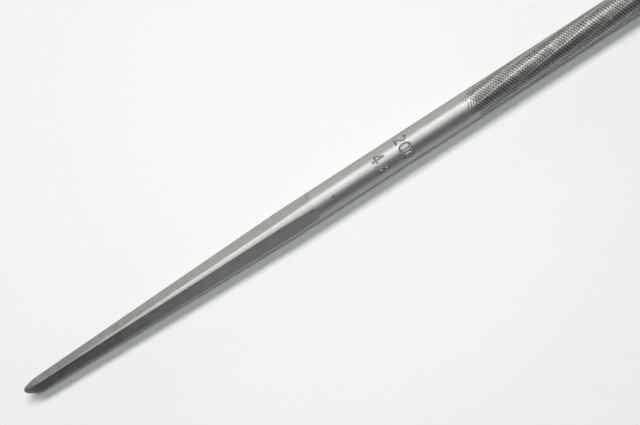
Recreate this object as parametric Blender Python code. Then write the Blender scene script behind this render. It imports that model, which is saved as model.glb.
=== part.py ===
"""Round file for sharpening saw chain, without a handle, lying on a table.

The real file is one bar of hardened steel, drawn down at one end and chiselled along
the rest. Its natural stretches are separate solids here, and they meet face to face:
the tang that a handle is driven onto, the plain shank, the two halves of the cut body
and the blunt point.

Metres, +Z up. The bar lies along X with its tang towards -X. The origin is under the
middle of the bar, on the surface that it lies on. Angles round the bar are measured
from +Y, through +Z.
"""

from math import acos, ceil, cos, floor, pi, radians, sin, sqrt, tan

import bmesh
import bpy

# The bar, and the stretches that it is divided into
BAR_DIAMETER = 0.0048
BLADE_LENGTH = 0.200          # shoulder of the tang to the far end, the file's nominal length
SHANK_LENGTH = 0.0275         # plain and round, from the shoulder to the first chisel cuts
POINT_LENGTH = 0.0015         # plain end beyond the last chisel cuts
POINT_CHAMFER = 0.0004
BAR_SIDES = 24                # facets of a round stretch, with one of them underneath

# The tang: a round bar drawn down to a cone, with four tapered flats ground on it
TANG_LENGTH = 0.0533          # tip to shoulder
TANG_ROLL = radians(-45)      # how far the flats are turned from square with the table
FLATS_AT_SHOULDER = 0.00435
FLATS_AT_NOSE = 0.00194
CORNERS_AT_NOSE = 0.00246
CORNER_RUN = 0.0451           # from the nose to where the corners reach the bar's own round
SHOULDER_FILLET = 0.0006      # length of the hollow run-out where the flats end
FILLET_STEPS = 5
NOSE_LENGTH = 0.0026
NOSE_END_FLATS = 0.00112
NOSE_END_CORNERS = 0.00140
NOSE_SLANT = radians(30)      # how far the cropped end leans from square

# The cut body: strips of chisel cuts side by side, which wind slowly round the bar
STRIP_COUNT = 10
STRIP_LEAD = 0.126            # length of one whole turn of the strips, left-handed
STRIP_PHASE = radians(4)      # angle of the first ridge between strips at the heel
TOOTH_PITCH = 0.0005
TOOTH_DEPTH = 0.00011
TOOTH_FACE_SHARE = 0.24       # steep cutting face, as a share of the pitch
STROKE_ANGLE = radians(62)    # of a chisel cut to the bar's axis
CUT_MARGIN = 0.0004           # uncut length kept at each end of a stretch of teeth
CUT_STRETCHES = ("cut_body_heel_half", "cut_body_point_half")

# Worked out from the sizes above
BAR_RADIUS = BAR_DIAMETER / 2
BAR_CORNER = BAR_RADIUS / cos(pi / BAR_SIDES)
CUT_LENGTH = BLADE_LENGTH - SHANK_LENGTH - POINT_LENGTH
X_TIP = -(TANG_LENGTH + BLADE_LENGTH) / 2
X_SHOULDER = X_TIP + TANG_LENGTH
X_HEEL = X_SHOULDER + SHANK_LENGTH
X_POINT = X_HEEL + CUT_LENGTH
X_END = X_POINT + POINT_LENGTH

# A stroke moves along the bar as it crosses a strip, and meets itself again after one
# turn, so that the strokes of all strips line up as a whole number of threads
STROKE_THREADS = round(pi * BAR_DIAMETER / tan(STROKE_ANGLE) / TOOTH_PITCH)
STROKE_ADVANCE = STROKE_THREADS * TOOTH_PITCH / STRIP_COUNT


def steel(name, colour, roughness):
    """A bare steel material."""
    material = bpy.data.materials.new(name)
    material.use_nodes = True
    shader = material.node_tree.nodes["Principled BSDF"]
    shader.inputs["Base Color"].default_value = (*colour, 1)
    shader.inputs["Metallic"].default_value = 1
    shader.inputs["Roughness"].default_value = roughness
    return material


def on_bar(x, radius, angle):
    """The point at this place along the bar, distance from its axis and angle round it."""
    return x, radius * cos(angle), BAR_RADIUS + radius * sin(angle)


def add_solid(name, points, faces, material):
    """One closed solid as an object, shaded smooth except across its edges."""
    mesh = bpy.data.meshes.new(name)
    mesh.from_pydata(points, [], faces)
    work = bmesh.new()
    work.from_mesh(mesh)
    bmesh.ops.triangulate(work, faces=[face for face in work.faces if len(face.verts) == 4])
    bmesh.ops.recalc_face_normals(work, faces=work.faces)
    work.to_mesh(mesh)
    work.free()
    mesh.shade_smooth()
    mesh.set_sharp_from_angle(angle=radians(25))
    mesh.materials.append(material)
    solid = bpy.data.objects.new(name, mesh)
    bpy.context.collection.objects.link(solid)
    return solid


def skin(name, rings, material):
    """A solid through rings of points, all with the same count, closed at both ends."""
    count = len(rings[0])
    points = [point for ring in rings for point in ring]
    faces = [list(range(count)), list(range(len(points) - count, len(points)))]
    for row in range(len(rings) - 1):
        for i in range(count):
            j = (i + 1) % count
            here = row * count
            there = here + count
            faces.append((here + i, here + j, there + j, there + i))
    return add_solid(name, points, faces, material)


def round_ring(x, radius):
    """A ring of facets at this distance from the axis, with one facet underneath."""
    corner = radius / cos(pi / BAR_SIDES)
    step = 2 * pi / BAR_SIDES
    return [on_bar(x, corner, -pi / 2 + (i + 1 / 2) * step) for i in range(BAR_SIDES)]


def tang_ring(x, flats, corners, lean=0):
    """Square section with round corners.

    flats and corners are the distances from the axis to the flats and to the corners'
    arcs. lean is the slope of the section's plane, which sets back its front corner.
    """
    steps = BAR_SIDES // 4 - 1
    first = acos(flats / corners)
    ring = []
    for side in range(4):
        start = TANG_ROLL + side * pi / 2 + first
        sweep = pi / 2 - 2 * first
        for i in range(steps + 1):
            ring.append(on_bar(x, corners, start + sweep * i / steps))
    front = TANG_ROLL + 5 * pi / 4
    set_back = [y * cos(front) + (z - BAR_RADIUS) * sin(front) for _, y, z in ring]
    reach = -min(set_back)
    return [
        (px + lean * (depth + reach), y, z)
        for (px, y, z), depth in zip(ring, set_back)
    ]


def make_tang():
    """Tapered square tang, from its cropped nose to the hollow run-out at the shoulder."""
    nose = X_TIP + NOSE_LENGTH
    taper_end = X_SHOULDER - SHOULDER_FILLET
    taper = (FLATS_AT_SHOULDER - FLATS_AT_NOSE) / 2 / (taper_end - nose)
    flats_at_nose = FLATS_AT_NOSE / 2
    flats_at_run = flats_at_nose + taper * CORNER_RUN
    flats_at_fillet = FLATS_AT_SHOULDER / 2
    rings = [
        tang_ring(X_TIP, NOSE_END_FLATS / 2, NOSE_END_CORNERS / 2, tan(NOSE_SLANT)),
        tang_ring(nose, flats_at_nose, CORNERS_AT_NOSE / 2),
        tang_ring(nose + CORNER_RUN, flats_at_run, BAR_RADIUS),
    ]
    # The run-out is a quarter of an ellipse that starts level with the flat
    for i in range(FILLET_STEPS):
        share = i / FILLET_STEPS
        rise = 1 - sqrt(1 - share ** 2)
        flats = flats_at_fillet + (BAR_RADIUS - flats_at_fillet) * rise
        rings.append(tang_ring(taper_end + SHOULDER_FILLET * share, flats, BAR_RADIUS))
    rings.append(tang_ring(X_SHOULDER, BAR_RADIUS, BAR_CORNER))
    return skin("tang", rings, steel("tang_steel", (0.33, 0.32, 0.31), 0.42))


def make_shank():
    """Plain round stretch between the tang and the teeth."""
    rings = [round_ring(X_SHOULDER, BAR_RADIUS), round_ring(X_HEEL, BAR_RADIUS)]
    return skin("shank", rings, steel("shank_steel", (0.46, 0.45, 0.44), 0.30))


def ridge_line(start, end, ridge):
    """Stations along one ridge: how far along its stroke's thread, place and radius."""
    shift = X_HEEL + ridge * STROKE_ADVANCE
    first = ceil((start + CUT_MARGIN - shift) / TOOTH_PITCH)
    last = floor((end - CUT_MARGIN - shift) / TOOTH_PITCH)
    stations = [(start, BAR_RADIUS)]
    for tooth in range(first, last):
        crest = shift + tooth * TOOTH_PITCH
        stations.append((crest, BAR_RADIUS))
        stations.append((crest + TOOTH_FACE_SHARE * TOOTH_PITCH, BAR_RADIUS - TOOTH_DEPTH))
    stations.append((end, BAR_RADIUS))
    return [(x - shift, x, radius) for x, radius in stations]


def lace(left, right):
    """Triangles between two ridges, whose stations hold a thread place and a point number."""
    faces = []
    i = 0
    j = 0
    while i + 1 < len(left) or j + 1 < len(right):
        right_done = j + 1 == len(right)
        left_next = i + 1 < len(left) and (right_done or left[i + 1][0] <= right[j + 1][0])
        if left_next:
            faces.append((left[i][1], left[i + 1][1], right[j][1]))
            i += 1
        else:
            faces.append((left[i][1], right[j + 1][1], right[j][1]))
            j += 1
    return faces


def make_cut_stretch(name, start, end, material):
    """A stretch of teeth: each strip is flat across, and its strokes run ridge to ridge."""
    points = []
    ridges = []
    for ridge in range(STRIP_COUNT):
        line = []
        for place, x, radius in ridge_line(start, end, ridge):
            turn = STRIP_PHASE + 2 * pi * (ridge / STRIP_COUNT - (x - X_HEEL) / STRIP_LEAD)
            line.append((place, len(points)))
            points.append(on_bar(x, radius, turn))
        ridges.append(line)
    # The last strip closes on the first ridge again, one turn of the strokes further on
    whole_turn = STRIP_COUNT * STROKE_ADVANCE
    ridges.append([(place - whole_turn, point) for place, point in ridges[0]])
    faces = [[line[0][1] for line in ridges[:-1]], [line[-1][1] for line in ridges[:-1]]]
    for left, right in zip(ridges, ridges[1:]):
        faces.extend(lace(left, right))
    return add_solid(name, points, faces, material)


def make_cut_body():
    """The toothed stretch, in equal lengths that meet at a plane square to the bar."""
    material = steel("cut_steel", (0.30, 0.29, 0.28), 0.38)
    length = CUT_LENGTH / len(CUT_STRETCHES)
    for i, name in enumerate(CUT_STRETCHES):
        start = X_HEEL + i * length
        end = X_POINT if i + 1 == len(CUT_STRETCHES) else start + length
        make_cut_stretch(name, start, end, material)


def make_point():
    """Blunt plain end with a small chamfer."""
    rings = [
        round_ring(X_POINT, BAR_RADIUS),
        round_ring(X_END - POINT_CHAMFER, BAR_RADIUS),
        round_ring(X_END, BAR_RADIUS - POINT_CHAMFER),
    ]
    return skin("point", rings, steel("point_steel", (0.36, 0.35, 0.34), 0.35))


def main():
    """Builds the whole file in an emptied scene."""
    for item in list(bpy.data.objects):
        bpy.data.objects.remove(item)
    make_tang()
    make_shank()
    make_cut_body()
    make_point()


main()
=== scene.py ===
"""Round file for sharpening saw chain, without a handle, on a sheet of white paper.

Metres, +Z up. The bar lies along X with its tang towards -X. Angles round the bar are
measured from +Y, through +Z. Every piece of steel is a skin over a grid of points, with
rows along the bar and columns round it.
"""

from math import asin, cos, pi, radians, sin, sqrt

import bpy
import numpy as np
from mathutils import Matrix, Vector


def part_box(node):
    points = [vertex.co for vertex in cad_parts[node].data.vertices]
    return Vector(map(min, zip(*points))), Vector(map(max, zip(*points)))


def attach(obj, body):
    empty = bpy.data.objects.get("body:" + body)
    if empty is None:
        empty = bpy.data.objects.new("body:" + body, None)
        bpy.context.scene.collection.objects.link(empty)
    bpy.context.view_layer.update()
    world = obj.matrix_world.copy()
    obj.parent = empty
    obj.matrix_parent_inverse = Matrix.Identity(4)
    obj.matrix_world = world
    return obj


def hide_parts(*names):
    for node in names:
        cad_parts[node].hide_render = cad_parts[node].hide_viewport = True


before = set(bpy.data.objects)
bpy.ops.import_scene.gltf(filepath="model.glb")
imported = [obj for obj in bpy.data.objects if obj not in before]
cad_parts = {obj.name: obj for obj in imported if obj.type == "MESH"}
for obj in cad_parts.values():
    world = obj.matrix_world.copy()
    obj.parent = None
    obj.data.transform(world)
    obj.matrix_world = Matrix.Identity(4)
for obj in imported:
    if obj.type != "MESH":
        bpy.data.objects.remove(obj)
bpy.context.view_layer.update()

MM = 0.001
SEED = 48

# Places along the bar, from the solids
X_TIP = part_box("tang")[0].x
X_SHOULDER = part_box("tang")[1].x
X_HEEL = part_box("shank")[1].x
X_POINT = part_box("point")[0].x
X_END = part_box("point")[1].x
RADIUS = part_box("shank")[1].z / 2
UNDERSIDE = -pi / 2                # angle at which every grid's columns start and end
CAMERA_HEIGHT = radians(80.3)
FACING = pi - CAMERA_HEIGHT        # angle round the bar that faces the photograph's camera

# Every skin
END_ROW = 0.004 * MM               # width of the outermost row
END_BAND = 0.02                    # share of the map's width that either end takes

# Tang. Scales are shares of the section behind the nose
TANG_ROLL = radians(-45)           # of the first flat's middle
FRONT_CORNER = TANG_ROLL + 5 * pi / 4
TANG_COLUMNS = 288
TAPER_ROWS = 120
RUN_OUT_ROWS = 30
NOSE_LENGTH = 2.6 * MM
NOSE_FLATS = 0.97 * MM             # distance from the axis to the flats, behind the nose
NOSE_CORNERS = 1.23 * MM           # and to the round corners
FLATS_SLOPE = 0.02405
CORNERS_SLOPE = 0.02594
NOSE_ROWS = 15
NOSE_SCALES = (0.10, 0.99)         # of the first row and the last
NOSE_START = 0.07                  # share of the nose's length that its lean takes up
NOSE_ROUNDING = 0.65               # power of its outline, which is fuller the lower it is
NOSE_LEAN = 0.60                   # slope of the cropped end, which sets back its front corner
LEAN_FADE = (0.45, 1.03)           # scales between which the lean comes to nothing
RUN_OUT = 0.6 * MM                 # length of the hollow that ends the flats
RUN_OUT_TOP = RADIUS * 1.004
EDGE_ROUNDING = 0.080 * MM         # of the edges beside the flats
TIP_ROUNDING = 0.22 * MM           # the same at the tip, where they are worn
WORN_END = X_TIP + 34 * MM

# Shades of the tang, which is duller towards its tip, and painted shade that darkens its front
# most near the tip
TIP_TONE = 0.68
DULL_END = X_TIP + 42 * MM
# Painted shade on the front of the tang, fading out along the bar
PAINTED_FRONT_SHADE = 0.30
PAINTED_FRONT_SHADE_SIDE = (-0.5 * MM, 0.4 * MM)  # distance in front of the axis over which it comes up
PAINTED_FRONT_SHADE_FADE = (X_TIP + 8 * MM, X_TIP + 36 * MM)
BLOTCHES = np.linspace(0.7, 3.5, 14) * MM
BLOTCH_DEPTH = 0.10
BLOTCH_LOSS = 0.8                  # share of it that is lost behind the fade
BLOTCH_FADE = (X_TIP + 8 * MM, X_TIP + 38 * MM)

# Shank
SHANK_COLUMNS = 288
PLAIN_STEP = 0.45 * MM
RING_STEP = 0.06 * MM
STAMP_STEP = 0.045 * MM
WITNESS_RING = X_TIP + 56.6 * MM
RING_MARGIN = 0.6 * MM
RING_WIDTH = 0.10 * MM
RING_DEPTH = 0.012 * MM
# Painted shade in the witness ring and its pits
RING_PAINTED_SHADE = 0.12
PITS = ((radians(11), 0.20 * MM), (radians(31), 0.17 * MM))  # angles from FACING, and sizes
PIT_DEPTH = 0.03 * MM
PIT_PAINTED_SHADE = 0.4

# Stamped numbers
SMALL_NUMBER_AT = X_TIP + 64.5 * MM
LARGE_NUMBER_AT = X_TIP + 69.0 * MM
NUMBERS = (
    ("200", LARGE_NUMBER_AT, FACING + radians(-3)),
    ("4.8", SMALL_NUMBER_AT, FACING + radians(4)),
)
STAMP_MARGIN = 0.5 * MM
NUMERAL_HEIGHT = 2.0 * MM
NUMERAL_WIDTH = 1.15 * MM
NUMERAL_GAP = 0.30 * MM
GROOVE_WIDTH = 0.27 * MM
GROOVE_DEPTH = 0.09 * MM
# Painted shade in the grooves and a painted highlight on the lips
GROOVE_PAINTED_SHADE = 0.45
LIP_HEIGHT = 0.030 * MM
LIP_AT = 0.62 * GROOVE_WIDTH       # from the middle of the groove
LIP_WIDTH = 0.16 * GROOVE_WIDTH
LIP_PAINTED_HIGHLIGHT = 0.30

# Cut body. One row and one column are one step of either family of chisel strokes
ROW_STEP = 0.05 * MM
CUT_COLUMNS = 140
SEGMENTS = 6
JOIN_ROWS = 12                     # rows at a segment's ends over which its waves die out
STRIPS = 10
STRIP_LEAD = 126 * MM
STRIP_PHASE = radians(8.4)
STRIP_SAG = 0.117 * MM             # how far the middle of a flat strip is below its ridges
CREST_SAG = 0.05                   # share of it that the crests of the teeth keep
SAG_START = 2.5 * MM               # length after the heel over which it comes up
POINT_FADE = 0.5 * MM              # length before the point over which the cut dies out
DRAWN_STROKES = 2000               # strokes of a strip that differ from each other
UP_CUT_ROWS = 10                   # pitch of the strokes, in rows
OVER_CUT_ROWS = 9
UP_CUT_DEPTH = 0.088 * MM
OVER_CUT_DEPTH = 0.045 * MM
UP_CUT_JITTER = 0.09
OVER_CUT_JITTER = 0.12
UP_PROFILE = ([0, 1, 2, 3, 8.4, 10], [1.0, 0.62, 0.16, 0.0, 1.0, 1.0])
OVER_PROFILE = ([0, 1, 2, 3, 9], [1.0, 0.5, 0.1, 0.0, 1.0])
OVER_CUT_LOSS = 0.8                # share of the over-cut that the up-cut takes away
LOSS_HEIGHTS = (0.05, 0.55)        # heights in the up-cut's profile between which it ends
UP_CUT_START = 1.55 * MM           # after the heel, at the middle of a strip
OVER_CUT_START = 0.35 * MM
START_SHIFT = 0.25                 # by how many millimetres a strip starts early or late
START_EDGE = 0.05 * MM             # softness of the start
UP_CUT_FIRST = (0.85, 0.15)        # depth of the first strokes, and what is added to it
UP_CUT_DEEPENS = 1.5 * MM          # length over which it is added
OVER_CUT_FIRST = (0.6, 0.4)
OVER_CUT_DEEPENS = MM
RIDGE_REACH = (0.02, 0.5)          # doming between which the strokes reach their full depth
RIDGE_CUT = 0.65                   # share of it that crosses the ridges
WAVES = 6                          # slow waves that shift the teeth along the bar
WAVE_RATES = (260, 170)            # of the first, in radians a metre, and what each adds
WAVE_SHIFT = 0.004                 # of each wave, in millimetres

# Shades of the teeth: painted shade in the valleys, painted highlights on the crests, painted
# sheen beside the ridges, and the strips' own tones
VALLEY_PAINTED_SHADE = 0.41
CREST_PAINTED_HIGHLIGHT = 1.30
OVER_CUT_PAINTED_SHADE = 0.55               # how far the over-cut darkens, as a share of the up-cut
OVER_CUT_ALONE = 0.8               # share of the teeth's shade where it stands alone
RIDGE_PAINTED_SHEEN = 0.16                 # how much paler the teeth are beside the ridges
STRIP_SHADE = 0.03                 # by how much the strips differ

# Point
POINT_COLUMNS = 160
POINT_SIDE = (0, 0.4 * MM, 0.8 * MM)
CHAMFER = 0.4 * MM
CHAMFER_TOP = 0.02 * MM            # how far its edge is below the side
CHAMFER_END = 0.97                 # share of its length at which it meets the flat end
POINT_ROUNDING = 0.06 * MM

# Marks in the steel, as spreads of its shade
GRAIN_SHADE = (0.93, 1.07)
SPECK_SHADE = (0.94, 1.06)
SPECK_SIZE = 0.2 * MM
MOTTLE_GLOSS = (-0.03, 0.03)

# Paper with a painted pool of light: palest around the shank and darkening a little outwards
PAPER_HALF = 3.0
PAPER_ROUGHNESS = 0.9
PAPER_SPECULAR = 0.15
FIBRE_SIZE = 0.8 * MM
FIBRE_SHADE = (0.93, 0.95)
PAINTED_POOL_CENTRE = (X_TIP + 60 * MM, 3 * MM, 0)
PAINTED_POOL_LOSS = 0.15                   # what the paper's shade loses far away
PAINTED_POOL_REACH = 60 * MM               # distance at which it has lost half of that

# Light
LAMP_TARGET = (X_TIP + 53.6 * MM, 0, 0)
LAMP_DISTANCE = 1.0
KEY = {
    "tilt_back": radians(26.4), "size": (1.0, 0.27), "power": 8.1, "colour": (1.03, 1.0, 0.985),
}
FILL = {
    "tilt_back": radians(-3.5), "size": (0.3, 0.19), "power": 2.42, "colour": (0.91, 1.0, 1.02),
}
ROOM_COLOUR = (1.0, 0.985, 0.95)
FRONT_COLOUR = (1.0, 1.0, 0.99)

# Camera
CAMERA_ROLL = radians(32.9)
CAMERA_DISTANCE = 0.45
CAMERA_SENSOR = 36
WIDTH_SEEN = 99.07 * MM
AIM_X = X_TIP + 53.56 * MM
AIM_BELOW = 1.316 * MM             # in the picture, from the bar's axis


def smooth(low, high, value):
    """Rises smoothly from zero to one as value goes from low to high."""
    t = np.clip((value - low) / (high - low), 0, 1)
    return t * t * (3 - 2 * t)


def soft_min(a, b, width):
    """The lower of a and b, rounded where they cross."""
    h = np.clip(0.5 + (b - a) / (2 * width), 0, 1)
    return b + (a - b) * h - width * h * (1 - h)


def round_bar(x, radius, angle):
    """Points at these places along the bar, distances from its axis and angles round it."""
    x, radius, angle = np.broadcast_arrays(x, radius, angle)
    return np.stack([x, radius * np.cos(angle), RADIUS + radius * np.sin(angle)], axis=-1)


def even_angles(columns):
    """Angles of a grid's columns, evenly round the bar."""
    return UNDERSIDE + 2 * pi * np.arange(columns) / columns


def add_end_rows(points, tone_and_painted_light):
    """The grid and its shades with a narrow row more at both ends.

    They keep the shading of the sides apart from that of the ends.
    """
    for end, beside in ((0, 1), (-1, -2)):
        gap = np.linalg.norm(points[beside] - points[end], axis=-1).mean()
        share = END_ROW / gap
        row = points[end] + (points[beside] - points[end]) * share
        place = 1 if end == 0 else len(points) - 1
        points = np.insert(points, place, row, axis=0)
        tone_and_painted_light = np.insert(tone_and_painted_light, place, tone_and_painted_light[end], axis=0)
    return points, tone_and_painted_light


def skin_faces(rows, columns):
    """Triangles of the sides, then of the two ends, whose middles follow the grid's points."""
    row, column = np.meshgrid(np.arange(rows - 1), np.arange(columns), indexing="ij")
    after = (column + 1) % columns
    a = row * columns + column
    b = row * columns + after
    c = (row + 1) * columns + after
    d = (row + 1) * columns + column
    sides = np.stack([np.stack(face, axis=-1) for face in ((a, b, c), (a, c, d))], axis=2)
    ring = np.arange(columns)
    following = (ring + 1) % columns
    last = (rows - 1) * columns
    near_point = np.full(columns, rows * columns)
    start_cap = np.stack([near_point, following, ring], axis=-1)
    end_cap = np.stack([near_point + 1, last + ring, last + following], axis=-1)
    return sides.reshape(-1, 3), np.concatenate([start_cap, end_cap])


def skin_map(rows, columns):
    """Places in the map of every triangle's corners.

    The map runs along the bar and round it, with a narrow band for each end.
    """
    row, column = np.meshgrid(np.arange(rows - 1), np.arange(columns), indexing="ij")
    u_row = END_BAND + (1 - 2 * END_BAND) * np.arange(rows) / (rows - 1)
    v_column = np.arange(columns + 1) / columns
    u0, u1 = u_row[row], u_row[row + 1]
    v0, v1 = v_column[column], v_column[column + 1]
    faces = (((u0, v0), (u0, v1), (u1, v1)), ((u0, v0), (u1, v1), (u1, v0)))
    sides = np.stack(
        [np.stack([np.stack(pair, axis=-1) for pair in face], axis=-2) for face in faces], axis=2
    ).reshape(-1, 3, 2)
    low, high = v_column[:-1], v_column[1:]
    middle = (low + high) / 2
    parts = [sides]
    for edge, inside, first, second in ((0, END_BAND, high, low), (1, 1 - END_BAND, low, high)):
        corners = ((edge, middle), (inside, first), (inside, second))
        parts.append(np.stack(
            [np.stack([np.full(columns, u), v], axis=-1) for u, v in corners], axis=1
        ))
    return np.concatenate(parts)


def skin(name, points, material, nodes, tone_and_painted_light=None):
    """A closed skin over a grid of points, which stands for these CAD nodes.

    The last argument is the steel's own tone at each point, with any painted shade and
    highlights in it, and one all over where it is left out.
    """
    if tone_and_painted_light is None:
        tone_and_painted_light = np.ones(points.shape[:2])
    points, tone_and_painted_light = add_end_rows(points, tone_and_painted_light)
    rows, columns = points.shape[:2]
    ends = [points[0].mean(axis=0), points[-1].mean(axis=0)]
    places = np.concatenate([points.reshape(-1, 3), ends])
    sides, caps = skin_faces(rows, columns)
    faces = np.concatenate([sides, caps])

    mesh = bpy.data.meshes.new(name)
    mesh.vertices.add(len(places))
    mesh.vertices.foreach_set("co", places.reshape(-1))
    mesh.loops.add(faces.size)
    mesh.loops.foreach_set("vertex_index", faces.reshape(-1).astype(np.int32))
    mesh.polygons.add(len(faces))
    mesh.polygons.foreach_set("loop_start", np.arange(0, faces.size, 3, dtype=np.int32))
    is_smooth = np.ones(len(faces), bool)
    is_smooth[len(sides):] = False
    mesh.polygons.foreach_set("use_smooth", is_smooth)
    uv = mesh.uv_layers.new(name="OFBake")
    uv.data.foreach_set("uv", skin_map(rows, columns).reshape(-1))
    # Each point's own tone, with the painted shade and highlights in it
    shade = mesh.attributes.new("tone_and_painted_light", "FLOAT", "POINT")
    end_tones = [tone_and_painted_light[0].mean(), tone_and_painted_light[-1].mean()]
    shade.data.foreach_set("value", np.concatenate([tone_and_painted_light.reshape(-1), end_tones]))
    mesh.update()
    mesh.validate()
    mesh.materials.append(material)
    piece = bpy.data.objects.new(name, mesh)
    bpy.context.scene.collection.objects.link(piece)
    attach(piece, "root")
    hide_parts(*nodes)
    return piece


# Materials

def node(tree, kind, inputs=None, **settings):
    """A shader node with these settings, and inputs that are links or values."""
    made = tree.nodes.new(kind)
    for key, value in settings.items():
        setattr(made, key, value)
    for key, value in (inputs or {}).items():
        socket = made.inputs[key]
        if isinstance(value, bpy.types.NodeSocket):
            tree.links.new(value, socket)
        else:
            socket.default_value = value
    return made


def maths(tree, operation, *values):
    return node(tree, "ShaderNodeMath", dict(enumerate(values)), operation=operation).outputs[0]


def along_bar(tree, length, across):
    """Object coordinates divided by the size of a pattern's marks along and across the bar."""
    place = node(tree, "ShaderNodeTexCoord").outputs["Object"]
    scale = (1 / length, 1 / across, 1 / across)
    return node(tree, "ShaderNodeMapping", {"Vector": place, "Scale": scale}).outputs[0]


def cloud(tree, length, across, detail):
    """Noise from zero to one, in marks of this size along and across the bar."""
    inputs = {
        "Vector": along_bar(tree, length, across),
        "Scale": 1.0,
        "Detail": detail,
        "Roughness": 0.55,
    }
    return node(tree, "ShaderNodeTexNoise", inputs, noise_dimensions="3D").outputs["Fac"]


def spread(tree, value, low, high, from_low=0.3, from_high=0.7):
    """A value, such as noise, stretched to run from low to high."""
    inputs = {
        "Value": value,
        "From Min": from_low,
        "From Max": from_high,
        "To Min": low,
        "To Max": high,
    }
    return node(tree, "ShaderNodeMapRange", inputs, clamp=True).outputs[0]


def blend(tree, share, first, second):
    """Colour between the first, at share zero, and the second, at share one."""
    mixed = node(tree, "ShaderNodeMix", data_type="RGBA")
    sockets = {socket.identifier: socket for socket in mixed.inputs}
    tree.links.new(share, sockets["Factor_Float"])
    sockets["A_Color"].default_value = (*first, 1)
    sockets["B_Color"].default_value = (*second, 1)
    return {socket.identifier: socket for socket in mixed.outputs}["Result_Color"]


def new_material(name):
    """A material with its node tree and its surface shader."""
    material = bpy.data.materials.new(name)
    material.use_nodes = True
    tree = material.node_tree
    return material, tree, tree.nodes["Principled BSDF"]


def steel(name, dark, light, roughness, grain, grain_depth, mottle):
    """Bare steel.

    dark and light are the colours that it wanders between, roughness its range, grain the
    length and width of its grinding marks and mottle the size of its clouds.
    """
    material, tree, shader = new_material(name)
    shader.inputs["Metallic"].default_value = 1
    mottled = cloud(tree, mottle, mottle, 4.0)
    marks = cloud(tree, *grain, 3.0)
    specks = cloud(tree, SPECK_SIZE, SPECK_SIZE, 2.0)
    colour = blend(tree, spread(tree, mottled, 0, 1), dark, light)
    # This attribute holds each point's own tone with the painted shade and highlights in it
    tone_and_painted_light = node(tree, "ShaderNodeAttribute", attribute_name="tone_and_painted_light").outputs["Fac"]
    shade = maths(tree, "MULTIPLY", tone_and_painted_light, spread(tree, marks, *GRAIN_SHADE))
    shade = maths(tree, "MULTIPLY", shade, spread(tree, specks, *SPECK_SHADE))
    shaded = node(tree, "ShaderNodeVectorMath", {0: colour, 1: shade}, operation="MULTIPLY")
    tree.links.new(shaded.outputs[0], shader.inputs["Base Color"])
    rough_marks = spread(tree, marks, *roughness)
    gloss = maths(tree, "ADD", rough_marks, spread(tree, mottled, *MOTTLE_GLOSS))
    tree.links.new(gloss, shader.inputs["Roughness"])
    depth = {"Strength": 1.0, "Distance": grain_depth, "Height": marks}
    relief = node(tree, "ShaderNodeBump", depth).outputs[0]
    tree.links.new(relief, shader.inputs["Normal"])
    return material


TANG_STEEL = steel(
    "tang_steel_ground",
    dark=(0.325, 0.322, 0.315), light=(0.365, 0.362, 0.355), roughness=(0.48, 0.54),
    grain=(0.9 * MM, 0.05 * MM), grain_depth=0.004 * MM, mottle=1.6 * MM,
)
SHANK_STEEL = steel(
    "shank_steel_ground",
    dark=(0.345, 0.342, 0.336), light=(0.375, 0.372, 0.366), roughness=(0.48, 0.52),
    grain=(0.05 * MM, 0.7 * MM), grain_depth=0.004 * MM, mottle=2.2 * MM,
)
CUT_STEEL = steel(
    "cut_steel_chiselled",
    dark=(0.320, 0.320, 0.304), light=(0.370, 0.370, 0.352), roughness=(0.44, 0.50),
    grain=(0.06 * MM, 0.3 * MM), grain_depth=0.003 * MM, mottle=1.1 * MM,
)
POINT_STEEL = steel(
    "point_steel_cropped",
    dark=(0.26, 0.257, 0.25), light=(0.31, 0.307, 0.30), roughness=(0.44, 0.52),
    grain=(0.05 * MM, 0.5 * MM), grain_depth=0.004 * MM, mottle=1.2 * MM,
)


# The tang: a cone with four tapered flats, a cropped nose and hollow run-outs

def tang_section(x):
    """Radius at each column of the section here, and the column's angle round the bar."""
    run = x - (X_TIP + NOSE_LENGTH)
    flats = NOSE_FLATS + FLATS_SLOPE * run
    corners = min(RADIUS, NOSE_CORNERS + CORNERS_SLOPE * run)
    edge = np.arccos(flats / corners)
    into = (x - (X_SHOULDER - RUN_OUT)) / RUN_OUT
    if into > 0:
        flats += (RUN_OUT_TOP - flats) * (1 - sqrt(1 - min(into, 1) ** 2))
    # Half of a quadrant's columns cross its flat, and half follow the round corner. Both
    # crowd towards the edge between them
    half = TANG_COLUMNS // 8
    crowded = np.sin(pi / 2 * (2 * np.arange(half) / half - 1))
    corner_half = pi / 4 - edge
    turn = np.concatenate([edge * crowded, pi / 4 + corner_half * crowded])
    from_flat = np.where(turn > pi / 4, turn - pi / 2, turn)
    worn = 1 - smooth(X_TIP, WORN_END, x)
    rounding = EDGE_ROUNDING + (TIP_ROUNDING - EDGE_ROUNDING) * worn
    radius = soft_min(flats / np.cos(from_flat), np.full(2 * half, corners), rounding)
    turns = np.concatenate([turn + k * pi / 2 for k in range(4)])
    return np.tile(radius, 4), TANG_ROLL + turns


def nose_rows():
    """Rings of the cropped nose, from its tip back."""
    section, turns = tang_section(X_TIP + NOSE_LENGTH)
    rows = []
    first, last = NOSE_SCALES
    for scale in np.sin(np.linspace(asin(first), asin(last), NOSE_ROWS)):
        share = NOSE_START + (1 - NOSE_START) * (1 - (1 - scale ** 2) ** NOSE_ROUNDING)
        lean = 1 - smooth(*LEAN_FADE, scale)
        ring = round_bar(X_TIP + share * NOSE_LENGTH, section * scale, turns)
        to_front = ring[:, 1] * cos(FRONT_CORNER) + (ring[:, 2] - RADIUS) * sin(FRONT_CORNER)
        ring[:, 0] += lean * NOSE_LEAN * to_front
        rows.append(ring)
    return rows


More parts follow.
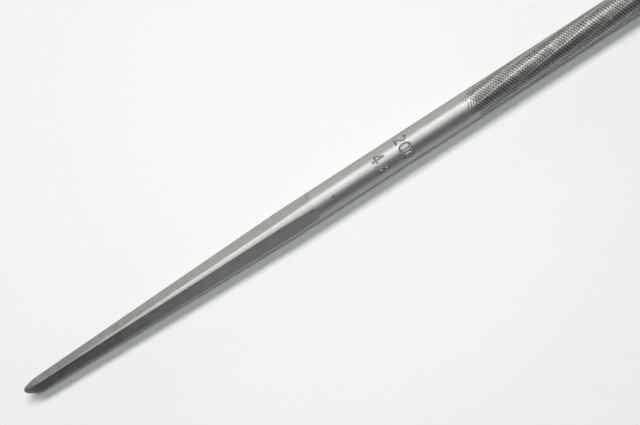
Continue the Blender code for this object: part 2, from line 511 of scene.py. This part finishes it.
def tang_tone_and_painted_shade(points):
    """Shades of the tang: dull towards the tip, with painted shade in front, and blotched all
    over.
    """
    along, sideways, height = points[:, :, 0], points[:, :, 1], points[:, :, 2]
    tone_and_painted_light = TIP_TONE + (1 - TIP_TONE) * smooth(X_TIP, DULL_END, along)
    # Painted shade on the front, strongest near the tip
    in_front = smooth(*PAINTED_FRONT_SHADE_SIDE, -sideways)
    tone_and_painted_light *= 1 - PAINTED_FRONT_SHADE * in_front * (1 - smooth(*PAINTED_FRONT_SHADE_FADE, along))
    # The two sides of the bar lie apart in the blotches' pattern
    random = np.random.RandomState(SEED + 1)
    round_it = height + np.sign(sideways) * 0.5 * MM
    blotch = np.zeros(tone_and_painted_light.shape)
    for length in BLOTCHES:
        heading, start = random.uniform(0, 2 * pi, 2)
        wave = along * cos(heading) + round_it * sin(heading)
        blotch += np.sin(2 * pi * wave / length + start) / 4
    tone_and_painted_light *= 1 + BLOTCH_DEPTH * blotch * (1 - BLOTCH_LOSS * smooth(*BLOTCH_FADE, along))
    return tone_and_painted_light


def make_tang():
    nose_end = X_TIP + NOSE_LENGTH
    flats_end = X_SHOULDER - RUN_OUT
    rows = nose_rows()
    taper = np.linspace(nose_end, flats_end, TAPER_ROWS, endpoint=False)
    run_out = np.linspace(flats_end, X_SHOULDER, RUN_OUT_ROWS)
    for x in np.concatenate([taper, run_out]):
        section, turns = tang_section(x)
        rows.append(round_bar(x, section, turns))
    points = np.array(rows)
    piece = skin("file_tang", points, TANG_STEEL, ["tang"], tang_tone_and_painted_shade(points))


# Numerals, as strokes in a box one unit wide and one unit high

def arc(cx, cy, rx, ry, start, end, steps):
    """Points of an arc of an ellipse, between these angles in degrees."""
    return [
        (cx + rx * cos(radians(start + (end - start) * k / steps)),
         cy + ry * sin(radians(start + (end - start) * k / steps)))
        for k in range(steps + 1)
    ]


NUMERALS = {
    "0": [arc(0.5, 0.5, 0.42, 0.46, 0, 360, 24)],
    "2": [arc(0.5, 0.70, 0.38, 0.26, 160, -35, 12) + [(0.10, 0.04), (0.92, 0.04)]],
    "4": [[(0.70, 0.02), (0.70, 0.97), (0.06, 0.30), (0.95, 0.30)]],
    "8": [arc(0.5, 0.74, 0.30, 0.22, 0, 360, 20), arc(0.5, 0.27, 0.38, 0.25, 0, 360, 20)],
    ".": [[(0.48, 0.05), (0.52, 0.05)]],
}
NARROW = {".": 0.35}


def numeral_strokes(text, x, angle):
    """Strokes of a number that reads round the bar, as points along it and round it.

    The number is centred on this angle, with its foot towards the tang.
    """
    widths = [NUMERAL_WIDTH * NARROW.get(sign, 1) for sign in text]
    total = sum(widths) + NUMERAL_GAP * (len(text) - 1)
    left = RADIUS * angle - total / 2
    strokes = []
    for sign, width in zip(text, widths):
        for line in NUMERALS[sign]:
            strokes.append([(x + v * NUMERAL_HEIGHT, left + u * width) for u, v in line])
        left += width + NUMERAL_GAP
    return strokes


def distance_to(strokes, x, arc_length):
    """Distance from each point of the unrolled bar to the nearest stroke."""
    nearest = np.full(x.shape, 1.0)
    for line in strokes:
        for (x0, y0), (x1, y1) in zip(line, line[1:]):
            dx, dy = x1 - x0, y1 - y0
            # The last term keeps a line without length from dividing by zero
            share = ((x - x0) * dx + (arc_length - y0) * dy) / (dx * dx + dy * dy + 1e-18)
            share = np.clip(share, 0, 1)
            gap = np.hypot(x - x0 - share * dx, arc_length - y0 - share * dy)
            nearest = np.minimum(nearest, gap)
    return nearest


def stretch(start, end, step):
    """Even stations from start up to, but not at, end."""
    return np.linspace(start, end, round((end - start) / step), endpoint=False)


def make_shank():
    ring_start, ring_end = WITNESS_RING - RING_MARGIN, WITNESS_RING + RING_MARGIN
    stamp_start = SMALL_NUMBER_AT - STAMP_MARGIN
    stamp_end = LARGE_NUMBER_AT + NUMERAL_HEIGHT + STAMP_MARGIN
    x = np.concatenate([
        stretch(X_SHOULDER, ring_start, PLAIN_STEP),
        stretch(ring_start, ring_end, RING_STEP),
        stretch(ring_end, stamp_start, PLAIN_STEP),
        stretch(stamp_start, stamp_end, STAMP_STEP),
        stretch(stamp_end, X_HEEL, PLAIN_STEP),
        [X_HEEL],
    ])
    along, turn = np.meshgrid(x, even_angles(SHANK_COLUMNS), indexing="ij")
    radius = np.full(along.shape, RADIUS)
    tone_and_painted_light = np.ones(along.shape)
    # The stamped numbers, with a raised lip beside each groove, painted shade in the grooves and
    # a painted highlight on the lips
    strokes = [line for number in NUMBERS for line in numeral_strokes(*number)]
    gap = distance_to(strokes, along, RADIUS * turn)
    inside = 1 - smooth(0.25, 1.0, gap / (GROOVE_WIDTH / 2))
    lip = np.exp(-((gap - LIP_AT) / LIP_WIDTH) ** 2)
    radius += LIP_HEIGHT * lip - GROOVE_DEPTH * inside
    tone_and_painted_light *= 1 - GROOVE_PAINTED_SHADE * inside + LIP_PAINTED_HIGHLIGHT * lip
    # The witness ring comes and goes round the bar, and has two pits; shade is painted into the
    # ring and the pits
    ring = np.exp(-((along - WITNESS_RING) / RING_WIDTH) ** 2)
    patchy = 0.55 + 0.45 * np.sin(3 * turn + 1.1) * np.sin(7 * turn)
    radius -= RING_DEPTH * ring * patchy
    tone_and_painted_light *= 1 - RING_PAINTED_SHADE * ring * patchy
    for pit_angle, size in PITS:
        away = np.hypot(along - WITNESS_RING, RADIUS * (turn - FACING - pit_angle))
        pit = np.exp(-(away / size) ** 2)
        radius -= PIT_DEPTH * pit
        tone_and_painted_light *= 1 - PIT_PAINTED_SHADE * pit
    piece = skin("file_shank", round_bar(along, radius, turn), SHANK_STEEL, ["shank"], tone_and_painted_light)


# The cut body: flat strips side by side that wind round the bar, each with its own two
# families of strokes. The up-cut makes saw teeth whose steep faces look towards the point,
# and the over-cut crosses them

def started(start, first, deepens, distance):
    """Share of a stroke's depth at this distance after the heel, from its start on."""
    begun = smooth(start - START_EDGE, start + START_EDGE, distance)
    return begun * (first[0] + first[1] * smooth(start, start + deepens, distance))


def make_cut_body():
    random = np.random.RandomState(SEED)
    total_rows = round((X_POINT - X_HEEL) / ROW_STEP)
    per_segment = total_rows // SEGMENTS
    up_jitter = random.normal(0, 1, (STRIPS, DRAWN_STROKES))
    over_jitter = random.normal(0, 1, (STRIPS, DRAWN_STROKES))
    up_offset = random.randint(0, UP_CUT_ROWS, STRIPS)
    over_offset = random.randint(0, OVER_CUT_ROWS, STRIPS)
    strip_tone = random.normal(0, 1, STRIPS)
    start_shift = random.uniform(-START_SHIFT, START_SHIFT, STRIPS) * MM
    waves = random.uniform(0, 2 * pi, (WAVES, 2))
    for segment in range(SEGMENTS):
        first = segment * per_segment
        last = total_rows if segment + 1 == SEGMENTS else first + per_segment
        row, column = np.meshgrid(
            np.arange(first, last + 1), np.arange(CUT_COLUMNS), indexing="ij"
        )
        x = X_HEEL + row * ROW_STEP
        turn = np.broadcast_to(even_angles(CUT_COLUMNS), x.shape)

        # Which strip each point is on, and where across it
        place = (turn - STRIP_PHASE) / (2 * pi / STRIPS) + STRIPS * (x - X_HEEL) / STRIP_LEAD
        strip = np.floor(place).astype(int)
        across = place - strip
        dome = 1 - (2 * across - 1) ** 2
        winding = np.floor_divide(strip, STRIPS)
        strip = strip % STRIPS

        # Which stroke of either family each point is on, and how many rows into it
        level = column - CUT_COLUMNS * winding
        up = row - level + up_offset[strip]
        up_phase = up % UP_CUT_ROWS
        up_wave = up_jitter[strip, np.floor_divide(up, UP_CUT_ROWS) % DRAWN_STROKES]
        over = row + level + over_offset[strip]
        over_phase = over % OVER_CUT_ROWS
        over_wave = over_jitter[strip, np.floor_divide(over, OVER_CUT_ROWS) % DRAWN_STROKES]

        # Each stroke is cut or left out as a whole, by where it crosses its strip's middle
        after_heel = x - X_HEEL - start_shift[strip]
        to_middle = (0.5 - across) * CUT_COLUMNS / STRIPS
        up_from = after_heel + (to_middle - up_phase) * ROW_STEP
        over_from = after_heel - (to_middle + over_phase) * ROW_STEP
        fade = smooth(0.0, POINT_FADE, X_POINT - x)
        flat_on = smooth(0.0, SAG_START, after_heel) * fade
        up_on = started(UP_CUT_START, UP_CUT_FIRST, UP_CUT_DEEPENS, up_from) * fade
        over_on = started(OVER_CUT_START, OVER_CUT_FIRST, OVER_CUT_DEEPENS, over_from) * fade

        # Depth below the round bar
        profile = np.interp(up_phase, *UP_PROFILE)
        notch = np.interp(over_phase, *OVER_PROFILE)
        body = RIDGE_CUT + (1 - RIDGE_CUT) * smooth(*RIDGE_REACH, dome)
        crest = CREST_SAG * STRIP_SAG * dome * flat_on
        up_depth = UP_CUT_DEPTH * body * up_on * (1 + UP_CUT_JITTER * up_wave) * (1 - profile)
        kept = 1 - OVER_CUT_LOSS * up_on * (1 - smooth(*LOSS_HEIGHTS, profile))
        over_depth = OVER_CUT_DEPTH * body * over_on * (1 - notch) * kept
        over_depth *= 1 + OVER_CUT_JITTER * over_wave
        radius = RADIUS - crest - up_depth - over_depth

        # Painted shade, dark in the valleys, and painted highlights, pale on the crests
        depth = up_depth / UP_CUT_DEPTH + OVER_CUT_PAINTED_SHADE * over_depth / OVER_CUT_DEPTH
        high = 1 - np.clip(depth, 0, 1)
        tone_and_painted_light = VALLEY_PAINTED_SHADE + (CREST_PAINTED_HIGHLIGHT - VALLEY_PAINTED_SHADE) * high + STRIP_SHADE * strip_tone[strip]
        # Painted sheen beside the ridges and painted shade in the middle of each strip
        tone_and_painted_light *= 1 + RIDGE_PAINTED_SHEEN * np.cos(2 * pi * across)
        tone_and_painted_light = 1 + (tone_and_painted_light - 1) * np.maximum(up_on, OVER_CUT_ALONE * over_on)

        shift = np.zeros(x.shape)
        for k, (p, q) in enumerate(waves):
            rate = WAVE_RATES[0] + WAVE_RATES[1] * k
            shift += np.sin(turn * (k + 1) + p + x * rate + q) * WAVE_SHIFT * MM
        shift *= smooth(0, JOIN_ROWS, row - first) * smooth(0, JOIN_ROWS, last - row)
        points = round_bar(x + shift, radius, turn)
        half = "cut_body_heel_half" if segment < SEGMENTS / 2 else "cut_body_point_half"
        piece = skin(f"file_teeth_{segment + 1}", points, CUT_STEEL, [half], tone_and_painted_light)


def make_point():
    # Places along the bar and distances from its axis: side, round edge, chamfer and end
    profile = [(X_POINT + run, RADIUS) for run in POINT_SIDE]
    chamfer_start = X_END - CHAMFER
    for k in range(7):
        a = radians(45) * k / 6
        x = chamfer_start - POINT_ROUNDING * (1 - sin(a) * 1.4)
        profile.append((x, RADIUS - POINT_ROUNDING * 0.3 * (1 - cos(a))))
    for k in range(1, 9):
        share = k / 8
        x = chamfer_start + CHAMFER * share * CHAMFER_END
        profile.append((x, RADIUS - CHAMFER_TOP - (CHAMFER - CHAMFER_TOP) * share))
    for k in range(1, 20):
        profile.append((X_END, (RADIUS - CHAMFER) * (1 - k / 20)))
    angle = even_angles(POINT_COLUMNS)
    rows = [round_bar(x, radius, angle) for x, radius in profile]
    piece = skin("file_point", np.array(rows), POINT_STEEL, ["point"])


# Stage

def paper():
    material, tree, shader = new_material("paper")
    shader.inputs["Roughness"].default_value = PAPER_ROUGHNESS
    shader.inputs["Specular IOR Level"].default_value = PAPER_SPECULAR
    fibres = cloud(tree, FIBRE_SIZE, FIBRE_SIZE, 4.0)
    shade = spread(tree, fibres, *FIBRE_SHADE)
    # The painted pool of light: the paper's colour loses some of its paleness away from one
    # place
    place = node(tree, "ShaderNodeTexCoord").outputs["Object"]
    away = node(
        tree, "ShaderNodeVectorMath", {0: place, 1: PAINTED_POOL_CENTRE}, operation="DISTANCE"
    ).outputs["Value"]
    reach = maths(tree, "POWER", maths(tree, "DIVIDE", away, PAINTED_POOL_REACH), 2.0)
    pale = maths(tree, "POWER", 0.5, reach)
    loss = maths(tree, "MULTIPLY", maths(tree, "SUBTRACT", 1.0, pale), PAINTED_POOL_LOSS)
    shade = maths(tree, "MULTIPLY", shade, maths(tree, "SUBTRACT", 1.0, loss))
    grey = node(tree, "ShaderNodeCombineColor", {0: shade, 1: shade, 2: shade}).outputs[0]
    tree.links.new(grey, shader.inputs["Base Color"])
    return material


def make_floor():
    mesh = bpy.data.meshes.new("paper_floor")
    half = PAPER_HALF
    corners = [(-half, -half, 0), (half, -half, 0), (half, half, 0), (-half, half, 0)]
    mesh.from_pydata(corners, [], [(0, 1, 2, 3)])
    mesh.materials.append(paper())
    floor = bpy.data.objects.new("paper_floor", mesh)
    bpy.context.scene.collection.objects.link(floor)


def area_light(name, tilt_back, size, power, colour):
    """A soft light above the bar, tilted from straight above."""
    data = bpy.data.lights.new(name, "AREA")
    data.shape = "RECTANGLE"
    data.size, data.size_y = size
    data.energy = power
    data.color = colour
    light = bpy.data.objects.new(name, data)
    direction = Vector((0, sin(tilt_back), cos(tilt_back)))
    light.location = Vector(LAMP_TARGET) + LAMP_DISTANCE * direction
    light.rotation_euler = direction.to_track_quat("Z", "Y").to_euler()
    bpy.context.scene.collection.objects.link(light)


def make_lights():
    """A long key light behind the bar, a cool fill in front and a pale room all round."""
    area_light("key", **KEY)
    area_light("fill", **FILL)
    world = bpy.data.worlds.new("studio")
    world.use_nodes = True
    tree = world.node_tree
    back = tree.nodes["Background"]
    direction = node(tree, "ShaderNodeTexCoord").outputs["Generated"]
    parts = node(tree, "ShaderNodeSeparateXYZ", {0: direction}).outputs
    towards_back = parts["Y"]
    sideways = maths(tree, "ABSOLUTE", parts["X"])
    behind = spread(tree, towards_back, 0, 1, -0.2, 0.2)
    tree.links.new(blend(tree, behind, FRONT_COLOUR, ROOM_COLOUR), back.inputs["Color"])
    # Strengths: rising towards the back wall, weak in front, and a little from both sides
    room = spread(tree, towards_back, 0.0, 2.65, 0.85, 1.0)
    front = spread(tree, towards_back, 0.20, 0.035, -0.75, -0.3)
    sides = spread(tree, sideways, 0.0, 0.12, 0.45, 0.85)
    light = maths(tree, "ADD", maths(tree, "ADD", room, front), sides)
    tree.links.new(light, back.inputs["Strength"])
    bpy.context.scene.world = world


def make_camera():
    """The photograph's camera: almost straight above, with the bar rising to the right."""
    down = Vector((0, -sin(CAMERA_HEIGHT), -cos(CAMERA_HEIGHT)))
    towards = Vector((0, -cos(CAMERA_HEIGHT), sin(CAMERA_HEIGHT)))
    bar = Vector((1, 0, 0))
    right = bar * cos(CAMERA_ROLL) + down * sin(CAMERA_ROLL)
    up = bar * sin(CAMERA_ROLL) - down * cos(CAMERA_ROLL)
    target = Vector((AIM_X, 0, RADIUS)) + AIM_BELOW * down
    data = bpy.data.cameras.new("camera")
    data.sensor_width = CAMERA_SENSOR
    data.lens = CAMERA_SENSOR * CAMERA_DISTANCE / WIDTH_SEEN
    camera = bpy.data.objects.new("camera", data)
    axes = Matrix((right, up, towards)).transposed()
    camera.matrix_world = Matrix.Translation(target + CAMERA_DISTANCE * towards) @ axes.to_4x4()
    bpy.context.scene.collection.objects.link(camera)
    bpy.context.scene.camera = camera


make_tang()
make_shank()
make_cut_body()
make_point()
make_floor()
make_lights()
make_camera()
bpy.context.scene.view_settings.view_transform = "Standard"
